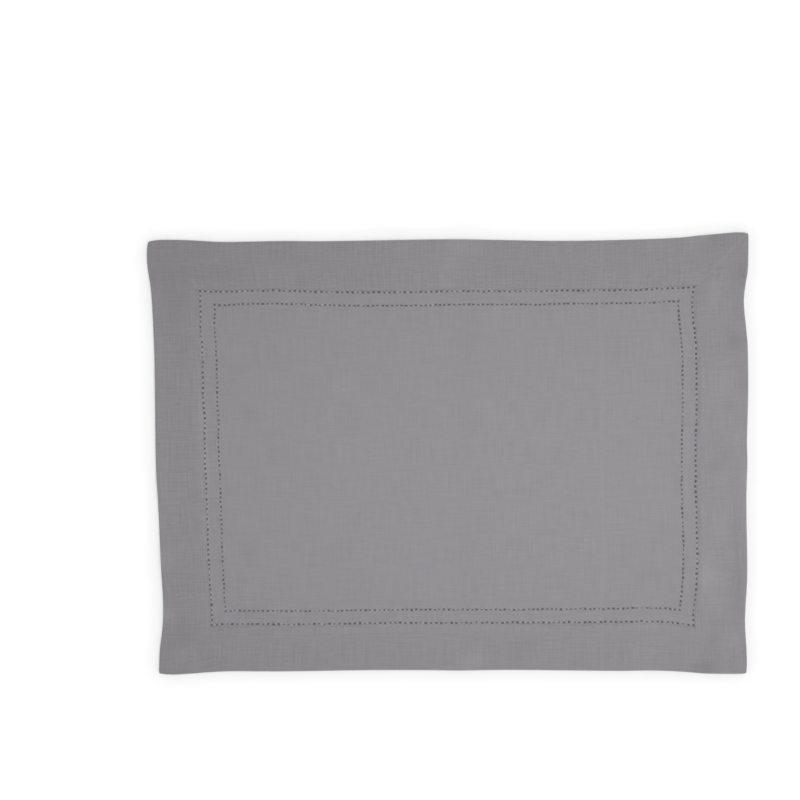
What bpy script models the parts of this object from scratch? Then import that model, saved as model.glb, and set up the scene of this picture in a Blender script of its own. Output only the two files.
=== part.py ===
"""A grey linen placemat with a wide mitred hem, lying flat on its underside.

The cloth and its hem are one closed solid, and its underside is one flat face
on z = 0. The outline keeps the uneven sides of washed linen: the thick corners
hold their place, while the sides between them draw in a few millimetres.

Sizes below are in millimetres, and MM turns them into the model's metres.
The origin lies on the surface under the middle of the placemat. +X runs along
a long side to the right, +Y to the upper long side, and +Z up.
"""

import math
from typing import NamedTuple

import bmesh
import bpy

MM = 0.001

# The cloth laid square, with its hem turned under: 19 x 14 in.
WIDTH = 482.6
DEPTH = 355.6

# From the folded edge to the hem's inner edge, on each side.
HEM_LEFT = 39.4
HEM_RIGHT = 41.8
HEM_UPPER = 41.4
HEM_LOWER = 38.7

FIELD_THICKNESS = 1.0    # the single cloth inside the hem
HEM_THICKNESS = 1.7      # the cloth, the hem and the raw edge tucked into it
HEM_STEP = 1.6           # width of the slope from the hem down to the field
FOLD_INSET = 0.8         # how far in the folded edge reaches its full height
FOLD_HEIGHT = 0.8        # the height at which the folded edge stands out furthest
FOOT_INSET = 0.5         # how far the underside stays inside the folded edge
CORNER_DRAW = 0.7        # how far a blunt corner draws in along both its sides
CORNER_SPAN = 3.0        # length of each side that a blunt corner takes up

CELL = 9.6               # about the size of a cell of the solid's upper face
BOW_REACH = 0.62         # share of the cloth over which a side's bow fades out
OUTLINE_STEPS = 480      # steps along a side for measuring the outline

LINEN_GREY = "8F8D90"    # sRGB
LINEN_ROUGHNESS = 0.9


class Corner(NamedTuple):
    """Where a corner of the placemat lies."""

    x: float
    y: float


class Bow(NamedTuple):
    """How far a side stands out, at one place along it."""

    along: float         # from the side's left or lower corner
    out: float           # outwards, and below zero where the side draws in


class Fold(NamedTuple):
    """A soft ridge in the cloth."""

    x: float             # its middle
    y: float
    turn: float          # the ridge's direction in degrees from +X
    length: float
    width: float
    rise: float


LOWER_LEFT = Corner(-235.5, -179.6)
LOWER_RIGHT = Corner(243.9, -179.6)
UPPER_LEFT = Corner(-244.6, 172.7)
UPPER_RIGHT = Corner(245.5, 179.8)

# The folded edges, from the straight lines between the corners.
LEFT_SIDE = (
    Bow(0, 0.0), Bow(20, -1.3), Bow(33, -3.3), Bow(47, -4.7), Bow(62, -4.8),
    Bow(88, -3.9), Bow(138, -2.9), Bow(165, -1.9), Bow(222, -2.5),
    Bow(262, -2.9), Bow(306, -2.0), Bow(318, -1.0), Bow(330, 0.6),
    Bow(342, 1.1), Bow(352.3, 0.0),
)
RIGHT_SIDE = (
    Bow(0, 0.0), Bow(12, 0.3), Bow(40, -1.3), Bow(53, -1.1), Bow(74, 0.1),
    Bow(89, 0.3), Bow(142, -0.7), Bow(171, 0.0), Bow(190, -0.4),
    Bow(229, 0.4), Bow(268, -0.2), Bow(281, -1.4), Bow(304, -3.5),
    Bow(320, -1.8), Bow(329, -0.3), Bow(345, 0.0), Bow(359.4, 0.0),
)
UPPER_SIDE = (
    Bow(0, 0.0), Bow(8, 1.3), Bow(24, 1.2), Bow(41, 0.3), Bow(57, -0.9),
    Bow(73, -1.1), Bow(114, -1.0), Bow(139, -1.6), Bow(245, -1.5),
    Bow(294, -2.9), Bow(334, -4.1), Bow(384, -4.1), Bow(432, -3.0),
    Bow(449, -1.5), Bow(465, -0.3), Bow(482, 0.8), Bow(490.2, 0.0),
)
LOWER_SIDE = (
    Bow(0, 0.0), Bow(9, 0.9), Bow(19, 0.6), Bow(42, -1.1), Bow(58, -1.8),
    Bow(99, -1.7), Bow(173, -2.7), Bow(222, -2.7), Bow(242, -2.4),
    Bow(286, -2.9), Bow(377, -2.1), Bow(397, -2.4), Bow(417, -2.0),
    Bow(434, -0.9), Bow(447, 0.1), Bow(474, 0.3), Bow(479.4, 0.0),
)

# The hem's inner edges, from where the folded edges alone would lead them.
LEFT_SEAM = (
    Bow(0, 0.0), Bow(42, -1.0), Bow(62, 0.1), Bow(134, -0.2), Bow(158, -0.9),
    Bow(183, -0.5), Bow(207, -0.7), Bow(220, 0.1), Bow(268, 0.6), Bow(281, 1.2),
    Bow(305, 0.2), Bow(352.3, 0.0),
)
RIGHT_SEAM = (
    Bow(0, 0.0), Bow(43, -0.4), Bow(50, -0.5), Bow(62, 0.2), Bow(99, 1.1),
    Bow(136, 0.9), Bow(160, 0.0), Bow(184, 0.0), Bow(209, 0.4), Bow(233, 0.1),
    Bow(307, 0.1), Bow(359.4, 0.0),
)
UPPER_SEAM = (
    Bow(0, 0.0), Bow(47, 0.1), Bow(84, 1.1), Bow(108, 0.8), Bow(157, -0.5),
    Bow(206, -1.5), Bow(255, -1.0), Bow(304, -0.2), Bow(353, 0.8),
    Bow(402, 0.2), Bow(427, 0.6), Bow(446, 0.0), Bow(490.2, 0.0),
)
LOWER_SEAM = (
    Bow(0, 0.0), Bow(48, -0.2), Bow(72, -0.3), Bow(121, 0.2), Bow(158, 0.3),
    Bow(195, 0.0), Bow(244, -0.3), Bow(293, 0.0), Bow(341, -0.7),
    Bow(390, -1.3), Bow(415, -1.2), Bow(427, -0.3), Bow(435, 0.4),
    Bow(479.4, 0.0),
)

FOLDS = (
    Fold(x=222, y=158, turn=39, length=52, width=12, rise=0.5),      # the four mitres
    Fold(x=-223, y=154, turn=141, length=46, width=12, rise=0.3),
    Fold(x=222, y=-160, turn=139, length=46, width=12, rise=0.4),
    Fold(x=-216, y=-160, turn=41, length=46, width=12, rise=0.3),
    Fold(x=230, y=124, turn=160, length=46, width=18, rise=0.6),     # the right hem's notch
    Fold(x=219, y=62, turn=88, length=96, width=20, rise=0.5),       # swells of the right hem
    Fold(x=220, y=-98, turn=92, length=120, width=20, rise=0.5),
    Fold(x=-221, y=64, turn=87, length=110, width=22, rise=0.4),     # of the left hem
    Fold(x=-218, y=-92, turn=94, length=100, width=20, rise=0.5),
    Fold(x=0, y=157, turn=4, length=120, width=24, rise=0.4),        # of the upper hem
    Fold(x=34, y=-158, turn=178, length=150, width=22, rise=0.4),    # of the lower hem
    Fold(x=160, y=-96, turn=90, length=40, width=12, rise=0.3),      # a crease in the field
)


def between(start, end, share):
    """The value that lies a share of the way from start to end."""
    return start + (end - start) * share


def eased(share):
    """The share, held between 0 and 1, with a soft start and a soft end."""
    share = min(max(share, 0.0), 1.0)
    return share * share * (3.0 - 2.0 * share)


def bow_at(side, share):
    """How far a side stands out, at a share of its length.

    The curve runs smoothly through the side's rows, and at each row it has the
    slope of the line between that row's neighbours.
    """
    along = share * side[-1].along
    last = len(side) - 1
    row = next((i for i in range(last) if along <= side[i + 1].along), last - 1)
    before = side[max(row - 1, 0)]
    start = side[row]
    end = side[row + 1]
    after = side[min(row + 2, last)]
    run = end.along - start.along
    leave = (end.out - before.out) / (end.along - before.along) * run
    arrive = (after.out - start.out) / (after.along - start.along) * run
    t = (along - start.along) / run
    return (
        (2 * t**3 - 3 * t**2 + 1) * start.out
        + (t**3 - 2 * t**2 + t) * leave
        + (3 * t**2 - 2 * t**3) * end.out
        + (t**3 - t**2) * arrive
    )


def drift(side, seam, hem, share, inward):
    """How far a side and its seam carry a point outwards.

    The point lies at a share of the side's length, and inward from the side by
    a share of the cloth, as the hem's width is given too. The side's bow fades
    out over the cloth, and the seam's grows over the hem and then fades out.
    """
    side_hold = 1 - eased(inward / BOW_REACH)
    seam_hold = min(inward / hem, 1 - eased((inward - hem) / BOW_REACH))
    return bow_at(side, share) * side_hold + bow_at(seam, share) * seam_hold


def stretched(across, up):
    """Where the corners, sides and seams carry a point of the cloth.

    The point is given by its shares of the cloth's width and depth.
    """
    lower_x = between(LOWER_LEFT.x, LOWER_RIGHT.x, across)
    upper_x = between(UPPER_LEFT.x, UPPER_RIGHT.x, across)
    lower_y = between(LOWER_LEFT.y, LOWER_RIGHT.y, across)
    upper_y = between(UPPER_LEFT.y, UPPER_RIGHT.y, across)
    x = between(lower_x, upper_x, up)
    y = between(lower_y, upper_y, up)
    x += drift(RIGHT_SIDE, RIGHT_SEAM, HEM_RIGHT / WIDTH, up, 1 - across)
    x -= drift(LEFT_SIDE, LEFT_SEAM, HEM_LEFT / WIDTH, up, across)
    y += drift(UPPER_SIDE, UPPER_SEAM, HEM_UPPER / DEPTH, across, 1 - up)
    y -= drift(LOWER_SIDE, LOWER_SEAM, HEM_LOWER / DEPTH, across, up)
    return x, y


def outline_middle():
    """The middle of the box around the four sides."""
    shares = [step / OUTLINE_STEPS for step in range(OUTLINE_STEPS + 1)]
    xs = [stretched(end, share)[0] for share in shares for end in (0, 1)]
    ys = [stretched(share, end)[1] for share in shares for end in (0, 1)]
    return (min(xs) + max(xs)) / 2, (min(ys) + max(ys)) / 2


MIDDLE_X, MIDDLE_Y = outline_middle()


def place(along, up):
    """The x and y of a point given by its distances along and up the cloth."""
    from_x = min(along, WIDTH - along)
    from_y = min(up, DEPTH - up)
    draw = CORNER_DRAW * max(0.0, 1 - (from_x + from_y) / CORNER_SPAN)
    along += math.copysign(draw, WIDTH / 2 - along)
    up += math.copysign(draw, DEPTH / 2 - up)
    x, y = stretched(along / WIDTH, up / DEPTH)
    return x - MIDDLE_X, y - MIDDLE_Y


def fold_rise(x, y):
    """How high the soft folds lift the cloth at a place."""
    rise = 0.0
    for fold in FOLDS:
        turn = math.radians(fold.turn)
        dx = x - fold.x
        dy = y - fold.y
        run = abs(dx * math.cos(turn) + dy * math.sin(turn)) / fold.length
        side = abs(dy * math.cos(turn) - dx * math.sin(turn)) / fold.width
        rise += fold.rise * (1 - eased(run * 1.5)) * (1 - eased(side * 1.5))
    return rise


def upper_height(along, up):
    """The height of the upper face: the hem, the slope inside it or the field."""
    inside = min(
        along - HEM_LEFT, WIDTH - HEM_RIGHT - along, up - HEM_LOWER, DEPTH - HEM_UPPER - up
    )
    return between(HEM_THICKNESS, FIELD_THICKNESS, eased(inside / HEM_STEP))


def grid_lines(length, first_hem, last_hem):
    """The places of the upper face's grid lines, from one side to the other.

    Lines lie on the folded edge, on the hem's inner edge and at the foot of
    its slope, and cells of about one size fill the stretches between them.
    """
    stops = [0.0, FOLD_INSET, first_hem, first_hem + HEM_STEP]
    stops += [length - stop for stop in (last_hem + HEM_STEP, last_hem, FOLD_INSET, 0.0)]
    lines = [0.0]
    for start, end in zip(stops, stops[1:]):
        cells = max(1, round((end - start) / CELL))
        lines += [between(start, end, (cell + 1) / cells) for cell in range(cells)]
    return lines


def build_upper_face(bm):
    """Add the upper face of the square cloth, down to the edge of its fold."""
    columns = grid_lines(WIDTH, HEM_LEFT, HEM_RIGHT)
    rows = grid_lines(DEPTH, HEM_LOWER, HEM_UPPER)
    x_cells = len(columns) - 1
    y_cells = len(rows) - 1
    bmesh.ops.create_grid(bm, x_segments=x_cells, y_segments=y_cells, size=0.5)
    for vert in bm.verts:
        along = columns[round((vert.co.x + 0.5) * x_cells)]
        up = rows[round((vert.co.y + 0.5) * y_cells)]
        height = FOLD_HEIGHT if vert.is_boundary else upper_height(along, up)
        vert.co = (along, up, height)


def build_underside(bm):
    """Extrude the folded edge down and in, and close it with one flat face."""
    rim = [edge for edge in bm.edges if edge.is_boundary]
    skirt = bmesh.ops.extrude_edge_only(bm, edges=rim)["geom"]
    for vert in (item for item in skirt if isinstance(item, bmesh.types.BMVert)):
        along = min(max(vert.co.x, FOOT_INSET), WIDTH - FOOT_INSET)
        up = min(max(vert.co.y, FOOT_INSET), DEPTH - FOOT_INSET)
        vert.co = (along, up, 0.0)
    bmesh.ops.edgeloop_fill(bm, edges=[edge for edge in bm.edges if edge.is_boundary])
    bmesh.ops.recalc_face_normals(bm, faces=bm.faces)


def lay_out(bm):
    """Carry the square cloth to where it lies, folds and all, in metres."""
    for vert in bm.verts:
        x, y = place(vert.co.x, vert.co.y)
        lifted = vert.co.z > FOLD_HEIGHT
        z = vert.co.z + (fold_rise(x, y) if lifted else 0.0)
        vert.co = (x * MM, y * MM, z * MM)


def srgb_colour(hex_code):
    """A hex sRGB colour as the linear red, green, blue and alpha of a shader."""
    channels = [int(hex_code[i:i + 2], 16) / 255 for i in (0, 2, 4)]
    linear = [c / 12.92 if c <= 0.04045 else ((c + 0.055) / 1.055) ** 2.4 for c in channels]
    return (*linear, 1.0)


def linen_material():
    """Plain grey linen."""
    material = bpy.data.materials.new("grey_linen")
    material.use_nodes = True
    shader = material.node_tree.nodes["Principled BSDF"]
    shader.inputs["Base Color"].default_value = srgb_colour(LINEN_GREY)
    shader.inputs["Roughness"].default_value = LINEN_ROUGHNESS
    shader.inputs["Metallic"].default_value = 0.0
    return material


def build_placemat():
    """Make the placemat: one cut of linen with its own mitred hem."""
    bm = bmesh.new()
    build_upper_face(bm)
    build_underside(bm)
    lay_out(bm)
    mesh = bpy.data.meshes.new("placemat")
    bm.to_mesh(mesh)
    bm.free()
    mesh.materials.append(linen_material())
    mesh.shade_smooth()
    mesh.set_sharp_from_angle(angle=math.radians(40))
    placemat = bpy.data.objects.new("placemat", mesh)
    bpy.context.scene.collection.objects.link(placemat)
    return placemat


def clear_scene():
    """Remove what the scene holds."""
    for thing in list(bpy.data.objects):
        bpy.data.objects.remove(thing, do_unlink=True)


clear_scene()
build_placemat()
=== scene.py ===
"""A grey hemstitched linen placemat, laid flat with its face up.

One cut of plain-woven linen makes the whole placemat. On all four sides it is
turned under to a wide hem with mitred corners, and its raw edge is tucked into
that hem. A row of open hemstitch holds the hem's inner edge, and a second row
runs round the cloth a little further in.

Sizes are in millimetres, and MM turns them into the model's metres. The cloth is
made square first, in a flat frame: "along" runs from its left side to its right
one and "up" from its lower side to its upper one. Its lie then carries it to
where it lies, uneven sides, creases and all.
"""

import logging
import math
import random
from dataclasses import dataclass, field, replace
from enum import Enum

import bmesh
import bpy
from bmesh.types import BMEdge, BMesh, BMFace, BMLayerItem, BMVert
from mathutils import Matrix, Vector, kdtree, noise


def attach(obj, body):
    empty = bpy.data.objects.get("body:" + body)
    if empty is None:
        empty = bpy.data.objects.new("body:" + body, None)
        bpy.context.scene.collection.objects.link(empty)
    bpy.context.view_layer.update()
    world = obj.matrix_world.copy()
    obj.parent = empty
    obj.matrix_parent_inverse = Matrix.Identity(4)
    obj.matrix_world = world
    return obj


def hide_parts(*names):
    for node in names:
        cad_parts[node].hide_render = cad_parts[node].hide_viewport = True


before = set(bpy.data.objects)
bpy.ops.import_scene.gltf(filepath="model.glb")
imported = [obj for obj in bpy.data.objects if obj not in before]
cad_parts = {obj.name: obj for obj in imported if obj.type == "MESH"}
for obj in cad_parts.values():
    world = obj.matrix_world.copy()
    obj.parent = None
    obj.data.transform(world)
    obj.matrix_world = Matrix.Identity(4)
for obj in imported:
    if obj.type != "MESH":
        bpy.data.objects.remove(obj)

MM = 0.001
NODE = "placemat"
BODY = "root"

log = logging.getLogger("placemat")


def srgb_colour(hex_code: str) -> tuple[float, float, float, float]:
    """Turn a hex sRGB colour into a shader's linear one.

    Args:
        hex_code: six hex digits, such as "8F8D90".

    Returns:
        Linear red, green, blue and alpha.
    """
    channels = [int(hex_code[i:i + 2], 16) / 255 for i in (0, 2, 4)]
    linear = [c / 12.92 if c <= 0.04045 else ((c + 0.055) / 1.055) ** 2.4 for c in channels]
    return (*linear, 1.0)


def between(start: float, end: float, share: float) -> float:
    """The value that lies a share of the way from start to end."""
    return start + (end - start) * share


def eased(share: float) -> float:
    """The share, held between 0 and 1, with a soft start and a soft end."""
    share = min(max(share, 0.0), 1.0)
    return share * share * (3.0 - 2.0 * share)


def new_piece(name: str, mesh: bpy.types.Mesh) -> bpy.types.Object:
    """Put a mesh into the scene as an object of that name."""
    piece = bpy.data.objects.new(name, mesh)
    bpy.context.scene.collection.objects.link(piece)
    return piece


# --- How the cloth lies ---------------------------------------------------------------


class Edge(Enum):
    """The four sides of the placemat."""

    LEFT = "left"
    RIGHT = "right"
    UPPER = "upper"
    LOWER = "lower"


@dataclass(frozen=True)
class Bow:
    """How far a side stands out, at one place along it.

    Below zero the side draws in. Places are measured from the side's left or
    lower corner.
    """

    along: float
    out: float


def bows(*pairs: tuple[float, float]) -> tuple[Bow, ...]:
    """Bows from pairs of (along, out)."""
    return tuple(Bow(along, out) for along, out in pairs)


@dataclass(frozen=True)
class Side:
    """One side of the placemat.

    Attributes:
        hem: from the folded edge to the outer row of hemstitch.
        band: from the outer row to the inner one.
        fold: how far the folded edge stands out from the line between its corners.
        seam: how far the hem's inner edge stands out from where the fold leads it.
        openness: how wide its hemstitch holes stand open, 1 being the usual.
    """

    hem: float
    band: float
    fold: tuple[Bow, ...]
    seam: tuple[Bow, ...]
    openness: float = 1.0

    def inset(self, zone: float, inward: float) -> float:
        """How far inside the folded edge a line round the cloth lies.

        Args:
            zone: 0 on the folded edge, 1 on the outer row and 2 on the inner row.
            inward: how much further in the line lies.

        Returns:
            The distance from the folded edge.
        """
        return self.hem * min(zone, 1.0) + self.band * max(zone - 1.0, 0.0) + inward


@dataclass(frozen=True)
class Crease:
    """A soft ridge in the cloth, or a trough where its rise is below zero."""

    x: float
    y: float
    turn: float          # its direction in degrees from +X
    length: float
    width: float
    rise: float
    reach: float = 2 / 3     # where it dies away, in lengths and widths from its middle

    def rise_at(self, x: float, y: float) -> float:
        """How high the crease lifts the cloth at a place."""
        turn = math.radians(self.turn)
        dx, dy = x - self.x, y - self.y
        run = abs(dx * math.cos(turn) + dy * math.sin(turn)) / self.length
        side = abs(dy * math.cos(turn) - dx * math.sin(turn)) / self.width
        return self.rise * (1 - eased(run / self.reach)) * (1 - eased(side / self.reach))


LEFT_SIDE = Side(
    hem=39.5,
    band=11.4,
    fold=bows(
        (0, 0.0), (20, -1.3), (33, -3.3), (47, -4.7), (62, -4.8), (88, -3.9),
        (138, -2.9), (165, -1.9), (222, -2.5), (262, -2.9), (306, -2.0),
        (318, -1.0), (330, 0.6), (342, 1.1), (352.3, 0.0),
    ),
    seam=bows(
        (0, 0.0), (42, -1.0), (62, 0.1), (134, -0.2), (158, -0.9), (183, -0.5),
        (207, -0.7), (220, 0.1), (268, 0.6), (281, 1.2), (305, 0.2), (352.3, 0.0),
    ),
    openness=0.92,
)
RIGHT_SIDE = Side(
    hem=42.05,
    band=11.25,
    fold=bows(
        (0, 0.0), (12, 0.3), (40, -1.3), (53, -1.1), (74, 0.1), (89, 0.3),
        (142, -0.7), (171, 0.0), (190, -0.4), (229, 0.4), (268, -0.2),
        (281, -1.4), (304, -3.5), (320, -1.8), (329, -0.3), (345, 0.0),
        (359.4, 0.0),
    ),
    seam=bows(
        (0, 0.0), (43, -0.4), (50, -0.5), (62, 0.2), (99, 1.1), (136, 0.9),
        (160, 0.0), (184, 0.0), (209, 0.4), (233, 0.1), (307, 0.1), (359.4, 0.0),
    ),
    openness=0.96,
)
UPPER_SIDE = Side(
    hem=41.55,
    band=10.9,
    fold=bows(
        (0, 0.0), (8, 1.3), (24, 1.2), (41, 0.3), (57, -0.9), (73, -1.1),
        (114, -1.0), (139, -1.6), (245, -1.5), (294, -2.9), (334, -4.1),
        (384, -4.1), (432, -3.0), (449, -1.5), (465, -0.3), (482, 0.8),
        (490.2, 0.0),
    ),
    seam=bows(
        (0, 0.0), (47, 0.1), (84, 1.1), (108, 0.8), (157, -0.5), (206, -1.5),
        (255, -1.0), (304, -0.2), (353, 0.8), (402, 0.2), (427, 0.6),
        (446, 0.0), (490.2, 0.0),
    ),
    openness=0.97,
)
LOWER_SIDE = Side(
    hem=38.9,
    band=10.8,
    fold=bows(
        (0, 0.0), (9, 0.9), (19, 0.6), (42, -1.1), (58, -1.8), (99, -1.7),
        (173, -2.7), (222, -2.7), (242, -2.4), (286, -2.9), (377, -2.1),
        (397, -2.4), (417, -2.0), (434, -0.9), (447, 0.1), (474, 0.3),
        (479.4, 0.0),
    ),
    seam=bows(
        (0, 0.0), (48, -0.2), (72, -0.3), (121, 0.2), (158, 0.3), (195, 0.0),
        (244, -0.3), (293, 0.0), (341, -0.7), (390, -1.3), (415, -1.2),
        (427, -0.3), (435, 0.4), (479.4, 0.0),
    ),
    openness=0.97,
)

CREASES = (
    # The right hem, from its upper corner down.
    Crease(x=219, y=172, turn=30, length=24, width=12, rise=-0.35),
    Crease(x=238, y=146, turn=90, length=26, width=13, rise=-0.6),
    Crease(x=217, y=131, turn=80, length=28, width=15, rise=0.58),
    Crease(x=236, y=121, turn=85, length=26, width=12, rise=-0.2),
    Crease(x=235, y=92, turn=10, length=22, width=18, rise=-0.62),
    Crease(x=241, y=62, turn=90, length=24, width=8, rise=-0.35),
    Crease(x=222, y=52, turn=85, length=44, width=20, rise=0.25),
    Crease(x=233, y=37, turn=90, length=14, width=12, rise=-0.22),
    Crease(x=235, y=14, turn=20, length=16, width=12, rise=0.4),
    Crease(x=221, y=-8, turn=15, length=34, width=13, rise=-0.35),
    Crease(x=242, y=-19, turn=90, length=28, width=8, rise=0.4),
    Crease(x=226, y=-43, turn=0, length=16, width=13, rise=0.35),
    Crease(x=222, y=-62, turn=90, length=40, width=16, rise=0.3),
    Crease(x=235, y=-62, turn=92, length=44, width=10, rise=-0.42),
    Crease(x=211, y=-97, turn=92, length=60, width=24, rise=0.6),
    Crease(x=237, y=-109, turn=88, length=64, width=13, rise=-0.55),
    Crease(x=220, y=-125, turn=90, length=24, width=13, rise=0.3),
    Crease(x=231, y=-153, turn=30, length=18, width=13, rise=0.55),
    Crease(x=217, y=-157, turn=95, length=26, width=10, rise=-0.35),
    Crease(x=209, y=-175, turn=5, length=24, width=14, rise=-0.75),
    # The upper hem, from its left end.
    Crease(x=-200, y=147, turn=3, length=80, width=14, rise=-0.3),
    Crease(x=-80, y=144, turn=0, length=140, width=12, rise=-0.1),
    Crease(x=-43, y=170, turn=0, length=56, width=22, rise=0.28),
    Crease(x=2, y=158, turn=60, length=44, width=34, rise=0.35),
    Crease(x=14, y=171, turn=0, length=32, width=18, rise=0.55),
    Crease(x=42, y=148, turn=80, length=18, width=10, rise=-0.35),
    Crease(x=80, y=147, turn=2, length=90, width=14, rise=-0.13),
    Crease(x=168, y=170, turn=0, length=30, width=12, rise=0.28),
    Crease(x=204, y=174, turn=15, length=24, width=10, rise=0.5),
    # The lower hem, from its left end.
    Crease(x=-219, y=-168, turn=30, length=18, width=12, rise=0.2),
    Crease(x=-216, y=-146, turn=0, length=30, width=18, rise=-0.45),
    Crease(x=18, y=-169, turn=5, length=26, width=17, rise=0.6),
    Crease(x=58, y=-158, turn=0, length=56, width=16, rise=-0.22),
    Crease(x=162, y=-163, turn=0, length=40, width=24, rise=0.22),
    # The left hem: short swells, and a shallow trough all along it with a ridge outside.
    Crease(x=-238, y=131, turn=90, length=16, width=10, rise=0.4),
    Crease(x=-224, y=132, turn=95, length=80, width=24, rise=-0.3),
    Crease(x=-233, y=-87, turn=90, length=24, width=14, rise=0.5),
    Crease(x=-229, y=-131, turn=90, length=18, width=12, rise=0.75),
    Crease(x=-217, y=0, turn=91, length=230, width=16, rise=-0.08),
    Crease(x=-234, y=0, turn=91, length=230, width=14, rise=0.16),
    # The hem's inner edge, where it stands a little higher than elsewhere.
    Crease(x=-200, y=4, turn=92, length=300, width=10, rise=0.4),
    Crease(x=0, y=-141, turn=0, length=400, width=8, rise=0.25),
    Crease(x=165, y=-138, turn=0, length=45, width=12, rise=0.3),
    Crease(x=2, y=135, turn=0, length=80, width=8, rise=0.16),
    # The field.
    Crease(x=160, y=-98, turn=88, length=26, width=7, rise=-0.3),
    Crease(x=168, y=-98, turn=60, length=14, width=12, rise=-0.3),
    Crease(x=-5, y=-112, turn=0, length=50, width=24, rise=0.12),
)


@dataclass(frozen=True)
class Mitre:
    """The folded corner seam of the hem, which shows on the face as a low step.

    The seam's allowance lies under one side of the diagonal and lifts it, most of all in a narrow crest
    along the seam itself, which is painted paler as a painted highlight.
    """

    across: Edge
    up: Edge
    high: Edge           # the side whose hem the allowance lifts
    rise: float
    crest: float
    painted_shading: float          # painted highlight: how much paler the crest is painted, as a share
    hold: float = 1.0    # how far from the seam the lift is whole
    fade: float = 8.0    # over how much more it dies away


MITRES = (
    Mitre(Edge.RIGHT, Edge.UPPER, high=Edge.UPPER, rise=0.1, crest=0.12, painted_shading=0.065),
    Mitre(Edge.RIGHT, Edge.LOWER, high=Edge.LOWER, rise=0.05, crest=0.05, painted_shading=0.02),
    Mitre(Edge.LEFT, Edge.UPPER, high=Edge.UPPER, rise=0.05, crest=0.03, painted_shading=0.01),
    Mitre(Edge.LEFT, Edge.LOWER, high=Edge.LOWER, rise=0.05, crest=0.03, painted_shading=0.01),
)


@dataclass
class Lie:
    """Where the placemat lies and how its sides run.

    The corners keep their places, and the sides between them draw in a little,
    as they do on washed linen. The origin is the middle of the placemat's box.
    """

    width: float = 482.6
    depth: float = 355.6
    lower_left: Vector = field(default_factory=lambda: Vector((-235.5, -179.6)))
    lower_right: Vector = field(default_factory=lambda: Vector((243.9, -179.6)))
    upper_left: Vector = field(default_factory=lambda: Vector((-244.6, 172.7)))
    upper_right: Vector = field(default_factory=lambda: Vector((245.5, 179.8)))
    bow_reach: float = 0.62      # share of the cloth over which a side's bow fades out
    corner_draw: float = 0.35    # how far a blunt corner draws in along both its sides
    corner_span: float = 2.0     # length of each side that a blunt corner takes up
    middle_steps: int = 480      # steps along a side for finding the middle
    sides: dict[Edge, Side] = field(
        default_factory=lambda: {
            Edge.LEFT: LEFT_SIDE,
            Edge.RIGHT: RIGHT_SIDE,
            Edge.UPPER: UPPER_SIDE,
            Edge.LOWER: LOWER_SIDE,
        }
    )

    def __post_init__(self) -> None:
        """Find the middle of the box around the four sides."""
        shares = [step / self.middle_steps for step in range(self.middle_steps + 1)]
        xs = [self.stretched(end, share).x for share in shares for end in (0, 1)]
        ys = [self.stretched(share, end).y for share in shares for end in (0, 1)]
        self.middle = Vector(((min(xs) + max(xs)) / 2, (min(ys) + max(ys)) / 2))

    @staticmethod
    def bow_at(side: tuple[Bow, ...], share: float) -> float:
        """How far a side stands out, at a share of its length.

        Args:
            side: the side's bows. The curve runs smoothly through them, and at
                each it has the slope of the line between its neighbours.
            share: 0 at the side's left or lower corner and 1 at the other.

        Returns:
            The distance outwards.
        """
        along = share * side[-1].along
        last = len(side) - 1
        row = next((i for i in range(last) if along <= side[i + 1].along), last - 1)
        before, start = side[max(row - 1, 0)], side[row]
        end, after = side[row + 1], side[min(row + 2, last)]
        run = end.along - start.along
        leave = (end.out - before.out) / (end.along - before.along) * run
        arrive = (after.out - start.out) / (after.along - start.along) * run
        t = (along - start.along) / run
        return (
            (2 * t**3 - 3 * t**2 + 1) * start.out
            + (t**3 - 2 * t**2 + t) * leave
            + (3 * t**2 - 2 * t**3) * end.out
            + (t**3 - t**2) * arrive
        )

    def drift(self, edge: Edge, share: float, inward: float) -> float:
        """How far a side carries a point of the cloth outwards.

        Args:
            edge: the side.
            share: the point's share of the side's length.
            inward: how far in the point lies, as a share of the cloth.

        Returns:
            The side's bow, which fades out over the cloth, and its seam's, which
            grows over the hem and then fades out.
        """
        side = self.sides[edge]
        span = self.width if edge in (Edge.LEFT, Edge.RIGHT) else self.depth
        hem = side.hem / span
        side_hold = 1 - eased(inward / self.bow_reach)
        seam_hold = min(inward / hem, 1 - eased((inward - hem) / self.bow_reach))
        return self.bow_at(side.fold, share) * side_hold + self.bow_at(side.seam, share) * seam_hold

    def stretched(self, across: float, up: float) -> Vector:
        """Where a point goes that is given by its shares of the width and depth."""
        lower = self.lower_left.lerp(self.lower_right, across)
        upper = self.upper_left.lerp(self.upper_right, across)
        point = lower.lerp(upper, up)
        point.x += self.drift(Edge.RIGHT, up, 1 - across) - self.drift(Edge.LEFT, up, across)
        point.y += self.drift(Edge.UPPER, across, 1 - up) - self.drift(Edge.LOWER, across, up)
        return point

    def place(self, along: float, up: float) -> Vector:
        """Where a point of the square cloth lies, seen from above.

        Args:
            along: its distance from the square cloth's left side.
            up: its distance from the square cloth's lower side.

        Returns:
            Its x and y.
        """
        from_x = min(along, self.width - along)
        from_y = min(up, self.depth - up)
        draw = self.corner_draw * max(0.0, 1 - (from_x + from_y) / self.corner_span)
        along += math.copysign(draw, self.width / 2 - along)
        up += math.copysign(draw, self.depth / 2 - up)
        return self.stretched(along / self.width, up / self.depth) - self.middle

    def insets(self, along: float, up: float) -> dict[Edge, float]:
        """How far inside each folded edge a point of the square cloth lies."""
        return {
            Edge.LEFT: along,
            Edge.RIGHT: self.width - along,
            Edge.UPPER: self.depth - up,
            Edge.LOWER: up,
        }

    def hem_shares(self, along: float, up: float) -> dict[Edge, float]:
        """A point's inset from each side as a share of that side's hem."""
        return {edge: inset / self.sides[edge].hem for edge, inset in self.insets(along, up).items()}


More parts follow.
